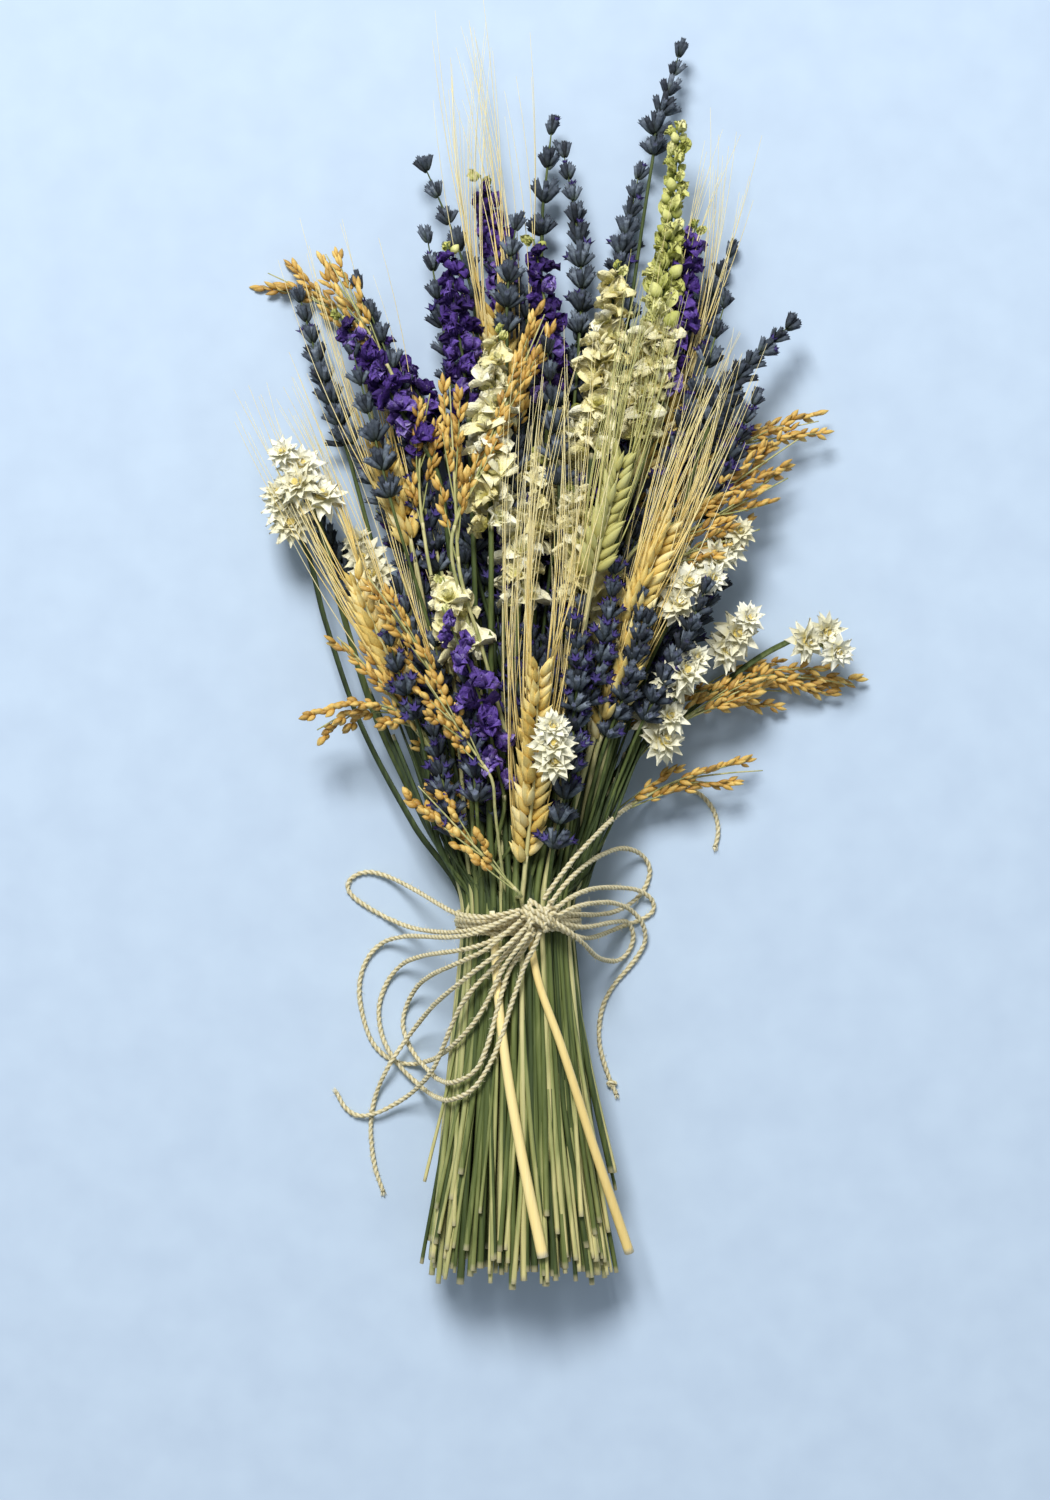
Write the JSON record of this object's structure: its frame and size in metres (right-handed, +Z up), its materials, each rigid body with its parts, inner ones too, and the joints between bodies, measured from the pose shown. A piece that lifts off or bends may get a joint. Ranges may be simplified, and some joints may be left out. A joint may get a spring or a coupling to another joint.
{
  "type": "bunch of dried flowers",
  "caption": "Hand-tied bunch of dried lavender, larkspur, bearded wheat, winged everlasting and seed grasses, lying flat, bound with hemp twine in a looped bow.",
  "frame": {"origin": "middle of the underside of the flowers, stems and tie, on the surface that the bunch lies on", "axes": "+Y runs along the bunch from the cut ends to the flower heads, +Z is up, +X is to the right seen from above with the heads at the top"},
  "size_m": [0.2112, 0.43, 0.0678],
  "materials": {
    "lavender": "matt dried flower spike, slate blue-grey",
    "purple_larkspur": "matt dried petals, deep violet",
    "cream_larkspur": "matt dried petals, cream to pale green",
    "wheat": "dry straw, golden, slight sheen",
    "everlasting": "papery white bracts",
    "golden_grass": "dry seed heads, tan gold",
    "dried_stem": "dry stems, olive to straw",
    "hemp_twine": "two-ply hemp twine, matt and hairy"
  },
  "bodies": {
    "root": {"lavender_01": "lavender", "lavender_02": "lavender", "lavender_03": "lavender", "lavender_04": "lavender", "lavender_05": "lavender", "lavender_06": "lavender", "lavender_07": "lavender", "lavender_08": "lavender", "lavender_09": "lavender", "lavender_10": "lavender", "lavender_11": "lavender", "lavender_12": "lavender", "lavender_13": "lavender", "lavender_14": "lavender", "purple_larkspur_01": "purple_larkspur", "purple_larkspur_02": "purple_larkspur", "purple_larkspur_03": "purple_larkspur", "purple_larkspur_04": "purple_larkspur", "purple_larkspur_05": "purple_larkspur", "purple_larkspur_06": "purple_larkspur", "cream_larkspur_01": "cream_larkspur", "cream_larkspur_02": "cream_larkspur", "cream_larkspur_03": "cream_larkspur", "cream_larkspur_04": "cream_larkspur", "cream_larkspur_05": "cream_larkspur", "wheat_01": "wheat", "wheat_02": "wheat", "wheat_03": "wheat", "wheat_04": "wheat", "wheat_05": "wheat", "wheat_06": "wheat", "wheat_07": "wheat", "everlasting_01": "everlasting", "everlasting_02": "everlasting", "everlasting_03": "everlasting", "everlasting_04": "everlasting", "everlasting_05": "everlasting", "everlasting_06": "everlasting", "golden_grass_01": "golden_grass", "golden_grass_02": "golden_grass", "golden_grass_03": "golden_grass", "golden_grass_04": "golden_grass", "golden_grass_05": "golden_grass", "golden_grass_06": "golden_grass", "golden_grass_07": "golden_grass", "golden_grass_08": "golden_grass", "stem_core": "dried_stem", "twine_wraps": "hemp_twine", "twine_knot": "hemp_twine", "bow_loop_left_1": "hemp_twine", "bow_loop_left_2": "hemp_twine", "bow_loop_left_3": "hemp_twine", "bow_loop_left_4": "hemp_twine", "bow_loop_right_1": "hemp_twine", "bow_loop_right_2": "hemp_twine", "bow_loop_right_3": "hemp_twine", "bow_tail_left_1": "hemp_twine", "bow_tail_left_2": "hemp_twine", "bow_tail_right_1": "hemp_twine", "bow_tail_right_2": "hemp_twine"}
  },
  "joints": []
}
